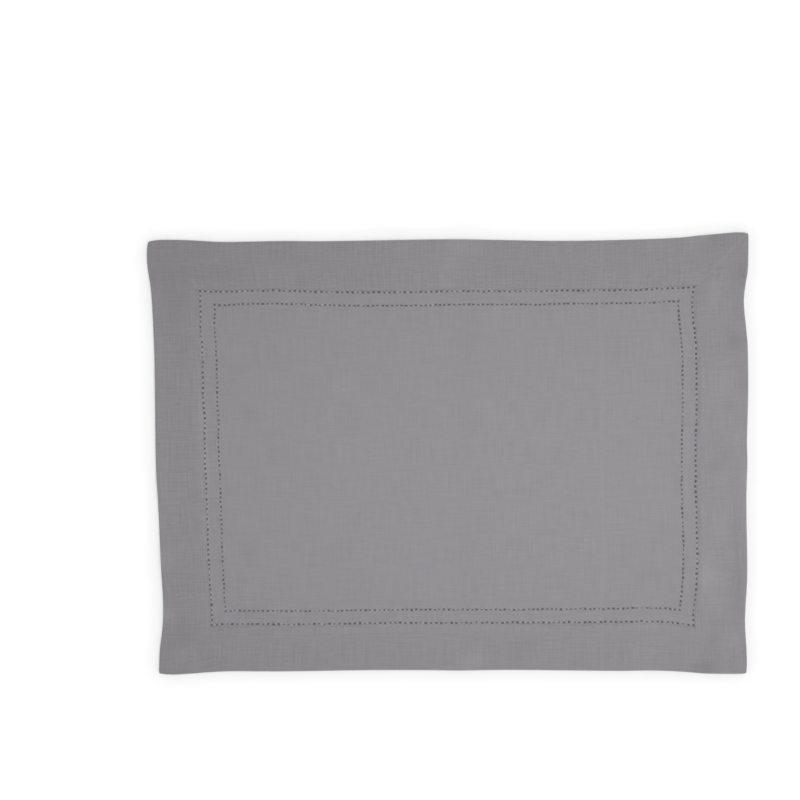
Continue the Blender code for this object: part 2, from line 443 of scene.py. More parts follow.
@dataclass(frozen=True)
class Relief:
    """The soft heights of the cloth that its plies don't give: creases, mitres and waves.

    The ridges, the mitres' crests and the folded edge are painted paler as painted highlight, and the
    troughs are painted darker as painted shade.
    """

    lie: Lie
    creases: tuple[Crease, ...] = CREASES
    mitres: tuple[Mitre, ...] = MITRES
    mitre_step: float = 1.1      # how wide the step at a mitre is, and half its crest
    mitre_ends: float = 0.125    # share of a mitre over which it comes up at each end
    field_wave: float = 0.14     # height of the soft waves in the single cloth
    hem_wave: float = 0.12       # and in the hem
    field_span: float = 46.0     # their length
    hem_span: float = 15.0
    field_plane: float = 3.7     # where the noise is cut for them
    hem_plane: float = 9.1
    hem_whole: float = 0.9       # share of the hem that has its waves at full height
    hem_fade: float = 0.2        # over how much more they die away
    ridge_painted_shading: float = 0.19     # painted light and shade: how much paler the cloth is painted for each mm of a ridge, and darker for each mm of a trough
    fold_painted_highlight: float = 0.025     # painted highlight: how much paler the folded edge is painted
    fold_reach: float = 2.2      # how far in that goes

    def mitres_at(self, along: float, up: float) -> tuple[float, float]:
        """What the mitres do at a point of the square cloth.

        Args:
            along: the point's place in the square cloth.
            up: the same, upwards.

        Returns:
            How high their allowances lift it, and how much paler their crests are painted as painted
            highlight.
        """
        insets = self.lie.insets(along, up)
        lift = painted_shading = 0.0
        for mitre in self.mitres:
            across, upward = insets[mitre.across], insets[mitre.up]
            hem_x, hem_y = self.lie.sides[mitre.across].hem, self.lie.sides[mitre.up].hem
            reach = math.hypot(hem_x, hem_y)
            run = (across * hem_x + upward * hem_y) / reach**2
            off = (across * hem_y - upward * hem_x) / reach
            if mitre.high is mitre.across:
                off = -off
            if 0.0 < run < 1.0:
                ends = eased(run / self.mitre_ends) * eased((1 - run) / self.mitre_ends)
                step = eased(off / self.mitre_step + 0.5) * (1 - eased((off - mitre.hold) / mitre.fade))
                crest = 1 - eased(abs(off) / self.mitre_step)
                lift += (mitre.rise * step + mitre.crest * crest) * ends
                painted_shading += mitre.painted_shading * crest * ends
        return lift, painted_shading

    def creases_at(self, place: Vector) -> float:
        """How high the creases lift the cloth at a place. Below zero they lower it."""
        return sum(crease.rise_at(place.x, place.y) for crease in self.creases)

    def painted_shading(self, along: float, up: float, place: Vector) -> float:
        """Painted light and shade at a point, as a share: paler on ridges, mitre crests and the folded
        edge, and below zero darker, in troughs.
        """
        inset = min(self.lie.insets(along, up).values())
        fold = self.fold_painted_highlight * (1 - eased(inset / self.fold_reach))
        return self.ridge_painted_shading * self.creases_at(place) + self.mitres_at(along, up)[1] + fold

    def rise(self, along: float, up: float, place: Vector) -> float:
        """How high the cloth lies at a point above its plies.

        Args:
            along: the point's place in the square cloth.
            up: the same, upwards.
            place: where it lies.

        Returns:
            The height, never below zero.
        """
        share = min(self.lie.hem_shares(along, up).values())
        hem = 1 - eased((share - self.hem_whole) / self.hem_fade)
        broad = noise.noise(Vector((*(place.xy / self.field_span), self.field_plane)))
        close = noise.noise(Vector((*(place.xy / self.hem_span), self.hem_plane)))
        wave = self.field_wave * (0.5 + broad) + self.hem_wave * hem * (0.5 + close)
        return max(0.0, wave + self.creases_at(place) + self.mitres_at(along, up)[0])


# --- The rows of hemstitch --------------------------------------------------------------


@dataclass(frozen=True)
class Hole:
    """An opened hole of a hemstitch row, in the square cloth."""

    along: float
    up: float
    turn: float          # the row's direction there, in radians from +X
    half_length: float   # along the row
    half_width: float    # across it
    corner: bool = False


@dataclass(frozen=True)
class HemstitchRow:
    """A row of holes round the cloth, each with a corner hole at its ends.

    Attributes:
        name: what the row is called.
        zone: 1 for the outer row, on the hem's inner edge, and 2 for the inner.
        across: steps from hole to hole along the long sides.
        up: steps along the short sides.
        mouth_along: about half the length of a hole.
        mouth_across: about half its width.
        seed: start of the row's random draws.
    """

    name: str
    zone: int
    across: int
    up: int
    mouth_along: float
    mouth_across: float
    seed: int
    wander_along: float = 0.25   # how far a hole usually strays along the row
    wander_across: float = 0.17
    stray_limit: float = 1.8     # the most, in times that
    corner_calm: float = 0.4     # how much of that is left at a corner and beside it
    corner_size: float = 0.97    # of a corner hole, 1 being the usual
    sizes: tuple[float, float] = (0.55, 1.2)     # least and most of the others
    ovals: tuple[float, float] = (0.85, 1.25)    # how long for their width, least and most
    bar: float = 0.9             # the least cloth between two holes

    def holes(self, lie: Lie) -> list[Hole]:
        """The row's holes, from the lower left corner round by the right.

        Args:
            lie: how the cloth lies, for its sizes.

        Returns:
            The holes, each a little out of place and of its own size.
        """
        draw = random.Random(self.seed)
        left, right, upper, lower = (
            lie.sides[edge].inset(self.zone, 0.0)
            for edge in (Edge.LEFT, Edge.RIGHT, Edge.UPPER, Edge.LOWER)
        )
        low = Vector((left, lower))
        high = Vector((lie.width - right, lie.depth - upper))
        corners = (low, Vector((high.x, low.y)), high, Vector((low.x, high.y)))
        edges = (Edge.LOWER, Edge.RIGHT, Edge.UPPER, Edge.LEFT)
        made = []
        for number, steps in enumerate((self.across, self.up, self.across, self.up)):
            openness = lie.sides[edges[number]].openness
            start, end = corners[number], corners[(number + 1) % 4]
            turn = math.atan2(end.y - start.y, end.x - start.x)
            run = (end - start).normalized()
            for step in range(steps):
                corner = step == 0
                calm = self.corner_calm if step in (0, 1, steps - 1) else 1.0
                stray = self.stray(draw, self.wander_along) * calm
                spot = start.lerp(end, step / steps) + run * stray
                spot += Vector((-run.y, run.x)) * self.stray(draw, self.wander_across) * calm
                size = self.corner_size if corner else openness * draw.triangular(*self.sizes, 1.0)
                oval = 1.0 if corner else draw.triangular(*self.ovals, 1.0)
                half_length = self.mouth_along * size * oval
                half_width = self.mouth_across * size / oval**0.5
                made.append(Hole(spot.x, spot.y, turn, half_length, half_width, corner))
        return self.kept_apart(made)

    def kept_apart(self, holes: list[Hole]) -> list[Hole]:
        """The holes, shortened where too little cloth would be left between two."""
        apart = []
        for last, this, after in zip(holes[-1:] + holes[:-1], holes, holes[1:] + holes[:1]):
            gap = min(
                math.hypot(other.along - this.along, other.up - this.up) for other in (last, after)
            )
            apart.append(replace(this, half_length=min(this.half_length, (gap - self.bar) / 2)))
        return apart

    def stray(self, draw: random.Random, usual: float) -> float:
        """How far off its place a hole is, with the usual distance given."""
        return min(max(draw.gauss(0, 1), -self.stray_limit), self.stray_limit) * usual


OUTER_ROW = HemstitchRow("outer", 1, across=94, up=66, mouth_along=1.11, mouth_across=1.04, seed=11)
INNER_ROW = HemstitchRow("inner", 2, across=97, up=67, mouth_along=1.05, mouth_across=1.0, seed=29)


# --- The cloth --------------------------------------------------------------------------


@dataclass(frozen=True)
class Ring:
    """A line round the cloth, parallel to its sides.

    Attributes:
        zone: 0 on the folded edge, 1 on the outer row and 2 on the inner row.
        inward: how much further in it lies.
        height: of the middle of the cloth's thickness.
        lift: how much of the relief it takes, from 0 to 1.
        turned: 0 on the face, 1 on the ply turned under and 2 on the tucked one.
    """

    zone: float
    inward: float
    height: float
    lift: float = 1.0
    turned: int = 0


@dataclass(frozen=True)
class Plies:
    """The heights of the linen's plies, and the rings that they are made of."""

    thickness: float = 0.45
    gap: float = 0.05            # between two plies
    tuck: float = 9.0            # how much of the raw edge is tucked into the hem
    hem_shy: float = 2.85        # how far outside the outer row the hem's inner fold stays
    turn_steps: int = 4          # steps round each fold
    fold_crown: float = 0.9      # height of the face where it starts round the folded edge
    field_height: float = 0.27
    inner_height: float = 0.62   # at the inner row, which its stitches lift
    outer_height: float = 0.97   # at the outer row, which the hem beside it holds up
    row_reach: float = 2.0       # half the width of the strip that holds a row
    hem_height: float = 1.25

    @property
    def under(self) -> float:
        """Height of the ply turned under."""
        return self.thickness / 2

    @property
    def tucked(self) -> float:
        """Height of the tucked raw edge."""
        return self.under + self.thickness + self.gap

    def turn(self, zone: float, low: float, high: float, shy: float, rising: bool,
             lifts: tuple[float, float], turned: int) -> list[Ring]:
        """The rings round a fold.

        Args:
            zone: where the fold lies.
            low: height of its lower ply.
            high: height of its upper ply.
            shy: signed distance of the fold's outermost point from the zone. It
                is above zero where the fold opens inwards.
            rising: whether the rings run from the lower ply to the upper one.
            lifts: the lift at the first ring and at the last.
            turned: the ply that the rings belong to.

        Returns:
            The rings in order.
        """
        radius = (high - low) / 2
        sign = math.copysign(1.0, shy)
        rings = []
        for step in range(self.turn_steps + 1):
            share = step / self.turn_steps
            swing = math.pi * (share - 0.5) * (1 if rising else -1)
            rings.append(Ring(
                zone,
                shy + sign * radius * (1 - math.cos(swing)),
                low + radius * (1 + math.sin(swing)),
                between(*lifts, share),
                turned,
            ))
        return rings

    def inner_rings(self) -> list[Ring]:
        """The rings that share the inner row's steps, from the field outwards."""
        return [
            Ring(2, 18.0, self.field_height),
            Ring(2, 9.0, self.field_height + 0.1),
            Ring(2, 4.5, self.inner_height - 0.13),
            Ring(2, self.row_reach, self.inner_height - 0.03),
            Ring(2, 0.0, self.inner_height),
            Ring(2, -self.row_reach, self.inner_height + 0.03),
        ]

    def outer_rings(self) -> list[Ring]:
        """The rings that share the outer row's steps, out to the fold and back under."""
        face = [
            Ring(1, 4.5, self.outer_height - 0.13),
            Ring(1, self.row_reach, self.outer_height - 0.04),
            Ring(1, 0.0, self.outer_height),
            Ring(1, -self.row_reach, self.outer_height + 0.02),
            Ring(1, -2.4, self.outer_height + 0.08),
            Ring(1, -2.9, self.hem_height - 0.06),
            Ring(1, -3.6, self.hem_height),
            Ring(1, -5.5, self.hem_height),
            Ring(1, -9.0, self.hem_height),
            Ring(1, -12.5, self.hem_height - 0.01),
            Ring(1, -16.0, self.hem_height - 0.04),
            Ring(0.5, 0.0, self.hem_height - 0.08),
            Ring(0.4, 0.0, self.hem_height - 0.12),
            Ring(0.3, 0.0, self.hem_height - 0.15),
            Ring(0, 9.0, 1.08),
            Ring(0, 6.5, 1.04),
            Ring(0, 4.0, 0.98),
            Ring(0, 2.0, self.fold_crown + 0.03),
        ]
        folded = self.turn(0, self.under, self.fold_crown, self.thickness / 2, rising=False,
                           lifts=(0.9, 0.3), turned=0)
        under = [
            Ring(0, 3.0, self.under, 0.3, 1),
            Ring(0, 9.0, self.under, 0.3, 1),
            Ring(0.5, 0.0, self.under, 0.3, 1),
            Ring(1, -7.0, self.under, 0.3, 1),
        ]
        inner_fold = self.turn(1, self.under, self.tucked, -self.hem_shy, rising=True,
                               lifts=(0.3, 0.6), turned=1)
        tuck = [
            Ring(1, -5.0, self.tucked, 0.6, 2),
            Ring(1, -self.hem_shy - self.tuck, self.tucked, 0.6, 2),
        ]
        return face + folded + under + inner_fold + tuck

    def face_height(self, zone: float, inward: float) -> float:
        """Height of the face's mid-line near one of the rows, between its rings."""
        rings = [r for r in self.inner_rings() + self.outer_rings()
                 if r.zone == zone and r.turned == 0]
        rings.sort(key=lambda r: r.inward)
        inward = min(max(inward, rings[0].inward), rings[-1].inward)
        for low, high in zip(rings, rings[1:]):
            if inward <= high.inward:
                share = (inward - low.inward) / (high.inward - low.inward)
                return between(low.height, high.height, share)
        return rings[-1].height


@dataclass
class PlacematCloth:
    """The linen itself: face, folded edges, the hem turned under and its tucked edge.

    The mesh starts as a unit square whose rings rise one step each, so that a
    vertex's place tells which ring it is on. It is then laid square in
    millimetres, its holes are opened, and the lie carries it to its place.
    """

    lie: Lie
    relief: Relief
    plies: Plies = field(default_factory=Plies)
    rows: tuple[HemstitchRow, ...] = (OUTER_ROW, INNER_ROW)
    corner_line: float = 0.52    # place of the extra lines beside a mitre, in steps
    site_slack: float = 0.01     # how near a whole step the vertex of a hole lies
    rim: float = 0.28            # width of the lip pressed down round a hole
    first_inset: float = 0.1     # how much of that is inset before the hole is rounded
    dip: float = 0.15            # how far it is pressed down
    mouth_cuts: int = 3          # vertices added to each of a mouth's four sides
    ragged: float = 0.12         # how uneven a mouth is, as a share of its size
    pushed: float = 0.55         # where a hole's pushed threads came from, on the way to its rim
    hem_line: float = 0.985      # where the hem's painted shade starts to end, as a share of the hem
    hem_blur: float = 0.03       # over how much more it ends
    sharp_angle: float = 50.0

    def __post_init__(self) -> None:
        """Draw the holes of both rows."""
        self.holes = {row.zone: row.holes(self.lie) for row in self.rows}

    # Making the mesh ------------------------------------------------------------------

    def grow(self, bm: BMesh, rim: list[BMEdge], rings: int) -> list[BMEdge]:
        """Extrude a rim by one step for each ring.

        Args:
            bm: the mesh.
            rim: the loop of edges to start from.
            rings: how many rings to add.

        Returns:
            The last ring's edges.
        """
        for _ in range(rings):
            made = bmesh.ops.extrude_edge_only(bm, edges=rim)["geom"]
            verts = [item for item in made if isinstance(item, BMVert)]
            fresh = set(verts)
            rim = [item for item in made if isinstance(item, BMEdge) and fresh.issuperset(item.verts)]
            bmesh.ops.translate(bm, verts=verts, vec=(0, 0, 1))
        return rim

    def build_inside(self, bm: BMesh) -> list[BMEdge]:
        """Add the field and the rings round the inner row, and return their rim."""
        inner = self.rows[1]
        bmesh.ops.create_grid(
            bm, x_segments=inner.across, y_segments=inner.up, size=0.5,
            matrix=Matrix.Translation((0.5, 0.5, 0)),
        )
        rim = [edge for edge in bm.edges if edge.is_boundary]
        return self.grow(bm, rim, len(self.plies.inner_rings()) - 1)

    def build_outside(self, bm: BMesh, level: int) -> list[BMEdge]:
        """Add the rings from the band outwards, and return the innermost one."""
        outer = self.rows[0]
        columns = self.corner_lines(outer.across)
        lines = self.corner_lines(outer.up)
        made = bmesh.ops.create_grid(bm, x_segments=len(columns) - 1, y_segments=len(lines) - 1, size=0.5)
        verts = made["verts"]
        for vert in verts:
            column = round((vert.co.x + 0.5) * (len(columns) - 1))
            line = round((vert.co.y + 0.5) * (len(lines) - 1))
            vert.co = (columns[column], lines[line], level)
        inside = [vert for vert in verts if not vert.is_boundary]
        bmesh.ops.delete(bm, geom=inside, context="VERTS")
        faces = [face for vert in verts if vert.is_valid for face in vert.link_faces]
        bmesh.ops.delete(bm, geom=list(set(faces)), context="FACES_ONLY")
        first = list({edge for vert in verts if vert.is_valid for edge in vert.link_edges})
        self.grow(bm, first, len(self.plies.outer_rings()) - 1)
        return first

    def corner_lines(self, steps: int) -> list[float]:
        """Shares of a side at its holes, with one more line beside each corner."""
        near = self.corner_line / steps
        return sorted([near, 1 - near, *(step / steps for step in range(steps + 1))])

    def build_plan(self) -> BMesh:
        """Make the unit square with all its rings, each one step above the last."""
        bm = bmesh.new()
        inner_rim = self.build_inside(bm)
        level = len(self.plies.inner_rings())
        outer_rim = self.build_outside(bm, level)
        bmesh.ops.bridge_loops(bm, edges=inner_rim + outer_rim)
        bmesh.ops.recalc_face_normals(bm, faces=bm.faces)
        return bm

    # Laying it square -----------------------------------------------------------------

    def rings(self) -> list[Ring]:
        """All the rings, by the height of their vertices in the plan."""
        return self.plies.inner_rings() + self.plies.outer_rings()

    def square_place(self, plan: Vector, ring: Ring) -> Vector:
        """Where a vertex of the plan lies in the square cloth."""
        left, right, upper, lower = (
            self.lie.sides[edge].inset(ring.zone, ring.inward)
            for edge in (Edge.LEFT, Edge.RIGHT, Edge.UPPER, Edge.LOWER)
        )
        return Vector((
            between(left, self.lie.width - right, plan.x),
            between(lower, self.lie.depth - upper, plan.y),
            ring.height,
        ))

    def cut_place(self, plan: Vector, ring: Ring, face_middle: Vector) -> Vector:
        """Where a corner of a face lies in the flat cut, for the run of its grain.

        Args:
            plan: the corner's place in the plan.
            ring: its ring.
            face_middle: the face's middle in the plan, which tells whose hem it is.

        Returns:
            The place in the cut, which reaches past the folded edges.
        """
        square = self.square_place(plan, ring)
        if ring.turned == 0:
            return square
        walls = {
            Edge.LEFT: face_middle.x,
            Edge.RIGHT: 1 - face_middle.x,
            Edge.UPPER: 1 - face_middle.y,
            Edge.LOWER: face_middle.y,
        }
        edge = min(walls, key=walls.get)
        side = self.lie.sides[edge]
        inset = side.inset(ring.zone, ring.inward)
        tucked = inset - 2 * (side.hem - self.plies.hem_shy)
        unfolded = -inset if ring.turned == 1 else tucked
        if edge is Edge.LEFT:
            square.x = unfolded
        elif edge is Edge.RIGHT:
            square.x = self.lie.width - unfolded
        elif edge is Edge.UPPER:
            square.y = self.lie.depth - unfolded
        else:
            square.y = unfolded
        return square

    def lay_square(self, bm: BMesh) -> list[BMVert]:
        """Run the grain over the plan and lay it square.

        Args:
            bm: the plan, which becomes the square cloth in millimetres.

        Returns:
            The vertices that holes will be opened at.
        """
        rings = self.rings()
        grain = bm.loops.layers.uv.new("grain")
        lift = bm.verts.layers.float.new("lift")
        for face in bm.faces:
            middle = face.calc_center_median()
            for loop in face.loops:
                plan = loop.vert.co
                loop[grain].uv = self.cut_place(plan, rings[round(plan.z)], middle).xy
        sites = []
        for vert in bm.verts:
            plan = vert.co.copy()
            ring = rings[round(plan.z)]
            vert[lift] = ring.lift
            vert.co = self.square_place(plan, ring)
            if ring.turned == 0 and ring.inward == 0.0 and ring.zone in self.holes:
                if self.is_site(plan, ring.zone):
                    sites.append(vert)
        return sites

    def is_site(self, plan: Vector, zone: float) -> bool:
        """Whether a vertex of a row is where a hole goes, and not an extra line."""
        row = next(row for row in self.rows if row.zone == zone)
        steps = (plan.x * row.across, plan.y * row.up)
        return all(abs(step - round(step)) < self.site_slack for step in steps)

    # Opening the holes ----------------------------------------------------------------

    def hole_finder(self, zone: int) -> kdtree.KDTree:
        """A tree that finds the row's hole nearest to a point of the square cloth."""
        tree = kdtree.KDTree(len(self.holes[zone]))
        for number, hole in enumerate(self.holes[zone]):
            tree.insert((hole.along, hole.up, 0.0), number)
        tree.balance()
        return tree

    def nearest_hole(self, point: Vector) -> Hole:
        """The hole nearest to a point of the square cloth, of either row."""
        found = []
        for zone, tree in self.finders.items():
            _, number, distance = tree.find((point.x, point.y, 0.0))
            found.append((distance, zone, number))
        _, zone, number = min(found)
        return self.holes[zone][number]

    def open_holes(self, bm: BMesh, sites: list[BMVert]) -> None:
        """Cut a hole at each site, round it and press its lip down.

        Args:
            bm: the square cloth.
            sites: the vertices that lie where the holes go.
        """
        self.finders = {row.zone: self.hole_finder(row.zone) for row in self.rows}
        for vert in sites:
            hole = self.nearest_hole(vert.co)
            vert.co.x, vert.co.y = hole.along, hole.up
        made = bmesh.ops.bevel(
            bm, geom=sites, offset=self.rim, offset_type="OFFSET", segments=1,
            profile=0.5, affect="VERTICES", material=-1, clamp_overlap=False,
        )
        mouths = made["faces"]
        edges = list({edge for face in mouths for edge in face.edges})
        bmesh.ops.bisect_edges(bm, edges=edges, cuts=self.mouth_cuts)
        grain = bm.loops.layers.uv["grain"]
        holes = [self.nearest_hole(face.calc_center_median()) for face in mouths]
        for face, hole in zip(mouths, holes):
            self.round_mouth(face, hole, self.rim, grain)
        bmesh.ops.inset_individual(
            bm, faces=mouths, thickness=self.rim * self.first_inset, depth=-self.dip
        )
        for face, hole in zip(mouths, holes):
            self.round_mouth(face, hole, 0.0, grain)
        bmesh.ops.delete(bm, geom=mouths, context="FACES")
        many = [face for face in bm.faces if len(face.verts) > 4]
        bmesh.ops.triangulate(bm, faces=many, ngon_method="BEAUTY")

    def round_mouth(self, face: BMFace, hole: Hole, lip: float, grain: BMLayerItem) -> None:
        """Move a mouth's corners to a slightly ragged oval round the hole.

        Args:
            face: the mouth.
            hole: the hole that it belongs to.
            lip: how far outside the hole the oval lies.
            grain: the layer that holds the run of the grain. The threads that the
                hole has pushed aside crowd round it.
        """
        run = Vector((math.cos(hole.turn), math.sin(hole.turn), 0.0))
        side = Vector((-run.y, run.x, 0.0))
        middle = Vector((hole.along, hole.up, 0.0))
        for vert in face.verts:
            way = vert.co - middle
            angle = math.atan2(way.dot(side), way.dot(run))
            aim = run * math.cos(angle) + side * math.sin(angle)
            way = run * math.cos(angle) * (hole.half_length + lip)
            way += side * math.sin(angle) * (hole.half_width + lip)
            way *= 1 + self.ragged * noise.noise(middle + aim)
            vert.co.x, vert.co.y = middle.x + way.x, middle.y + way.y
            for loop in vert.link_loops:
                loop[grain].uv = (middle + way * self.pushed).xy

    # Laying it down -------------------------------------------------------------------

    def lay_down(self, bm: BMesh) -> None:
        """Carry the square cloth to where it lies, in metres, and mark its hem and its painted light and
        shade.
        """
        hem = bm.verts.layers.float.new("hem_plies")
        painted_shading = bm.verts.layers.float.new("painted_shading")
        lift = bm.verts.layers.float["lift"]
        for vert in bm.verts:
            along, up, height = vert.co
            share = min(self.lie.hem_shares(along, up).values())
            vert[hem] = 1 - eased((share - self.hem_line) / self.hem_blur)
            spot = self.lie.place(along, up)
            vert[painted_shading] = self.relief.painted_shading(along, up, spot)
            height += self.relief.rise(along, up, spot) * vert[lift]
            vert.co = Vector((spot.x, spot.y, height)) * MM
        bm.verts.layers.float.remove(bm.verts.layers.float["lift"])

    def build(self) -> bpy.types.Object:
        """Make the cloth.

        Returns:
            The cloth as one object, smooth but for the rims of its holes.
        """
        bm = self.build_plan()
        sites = self.lay_square(bm)
        self.open_holes(bm, sites)
        self.lay_down(bm)
        mesh = bpy.data.meshes.new("placemat_cloth")
        bm.to_mesh(mesh)
        bm.free()
        cloth = new_piece("placemat_cloth", mesh)
        self.thicken(cloth)
        return cloth

    def thicken(self, cloth: bpy.types.Object) -> None:
        """Give the cloth its thickness, half to each side, and smooth it."""
        solidify = cloth.modifiers.new("thickness", "SOLIDIFY")
        solidify.thickness = self.plies.thickness * MM
        solidify.offset = 0.0
        solidify.use_rim = True
        thick = bpy.data.meshes.new_from_object(
            cloth.evaluated_get(bpy.context.evaluated_depsgraph_get())
        )
        cloth.modifiers.clear()
        cloth.data = thick
        thick.shade_smooth()
        thick.set_sharp_from_angle(angle=math.radians(self.sharp_angle))

    @property
    def turned_in(self) -> float:
        """How far the cut reaches past the outer row's place, once for each side."""
        return self.plies.tuck - self.plies.hem_shy

    @property
    def cut(self) -> tuple[float, float]:
        """Width and length of the flat cut, in metres."""
        width = self.lie.width + LEFT_SIDE.hem + RIGHT_SIDE.hem + 2 * self.turned_in
        depth = self.lie.depth + LOWER_SIDE.hem + UPPER_SIDE.hem + 2 * self.turned_in
        return width * MM, depth * MM

    def area_inside(self, inward: float) -> float:
        """Area of the square cloth inside a line round it, given from the outer row."""
        insets = {edge: side.inset(1, inward) for edge, side in self.lie.sides.items()}
        width = self.lie.width - insets[Edge.LEFT] - insets[Edge.RIGHT]
        depth = self.lie.depth - insets[Edge.UPPER] - insets[Edge.LOWER]
        return width * depth

    @property
    def cut_area(self) -> float:
        """Area of the cut without what its mitred corners lose, in square metres."""
        face = self.lie.width * self.lie.depth
        fold = self.area_inside(-self.plies.hem_shy)
        raw = self.area_inside(-self.plies.hem_shy - self.plies.tuck)
        return (face + (face - fold) + (raw - fold)) * MM * MM


# --- The stitches -----------------------------------------------------------------------


@dataclass(frozen=True)
class StitchBend:
    """A place along a stitch of unit length, with its height and slope."""

    along: float
    height: float
    slope: float         # degrees, above zero where the thread climbs


@dataclass(frozen=True)
class StitchForm:
    """The shape of one kind of stitch, of unit length along +X and in millimetres.

    Attributes:
        bends: the places that its thread runs through.
        radius: of the thread.
        sides: of the thread's section.
        flat: how many times wider than high the thread is pressed.
        finish: which of the piece's finishes it takes.
    """

    bends: tuple[StitchBend, ...]
    radius: float
    sides: int
    flat: float
    finish: int

    def mesh(self) -> bpy.types.Mesh:
        """Make the stitch's mesh."""
        bm = bmesh.new()
        upright = Matrix.Rotation(math.radians(90), 4, "Y")
        frames = [
            Matrix.Translation((bend.along, 0, bend.height))
            @ Matrix.Rotation(math.radians(-bend.slope), 4, "Y")
            for bend in self.bends
        ]
        bmesh.ops.create_circle(
            bm, cap_ends=True, segments=self.sides, radius=self.radius, matrix=frames[0] @ upright
        )
        caps = list(bm.faces)
        for last, this in zip(frames, frames[1:]):
            made = bmesh.ops.extrude_face_region(bm, geom=caps)["geom"]
            verts = [item for item in made if isinstance(item, BMVert)]
            if last is not frames[0]:
                bmesh.ops.delete(bm, geom=caps, context="FACES_ONLY")
            caps = [item for item in made if isinstance(item, BMFace)]
            bmesh.ops.transform(bm, matrix=this @ last.inverted(), verts=verts)
        bmesh.ops.scale(bm, vec=(1, self.flat, 1), verts=bm.verts)
        bmesh.ops.recalc_face_normals(bm, faces=bm.faces)
        for face in bm.faces:
            face.material_index = self.finish
        mesh = bpy.data.meshes.new("stitch")
        bm.to_mesh(mesh)
        bm.free()
        return mesh


FACE_STITCH = StitchForm(
    bends=(
        StitchBend(0.0, -0.36, 60),
        StitchBend(0.12, -0.06, 30),
        StitchBend(0.5, 0.0, 0),
        StitchBend(0.88, -0.06, -30),
        StitchBend(1.0, -0.36, -60),
    ),
    radius=0.13, sides=5, flat=1.0, finish=0,
)
# The bobbin thread's strands: their darker finish fills each hole with painted shade.
BACK_STITCH = StitchForm(
    bends=(StitchBend(0.0, -0.1, 20), StitchBend(0.5, 0.04, 0), StitchBend(1.0, -0.1, -20)),
    radius=0.12, sides=4, flat=1.7, finish=1,
)


@dataclass(frozen=True)
class Stitch:
    """One stitch between two places of the square cloth."""

    start: Vector
    end: Vector
    form: StitchForm = FACE_STITCH

    @property
    def under(self) -> bool:
        """Whether the stitch lies on the reverse."""
        return self.form is BACK_STITCH


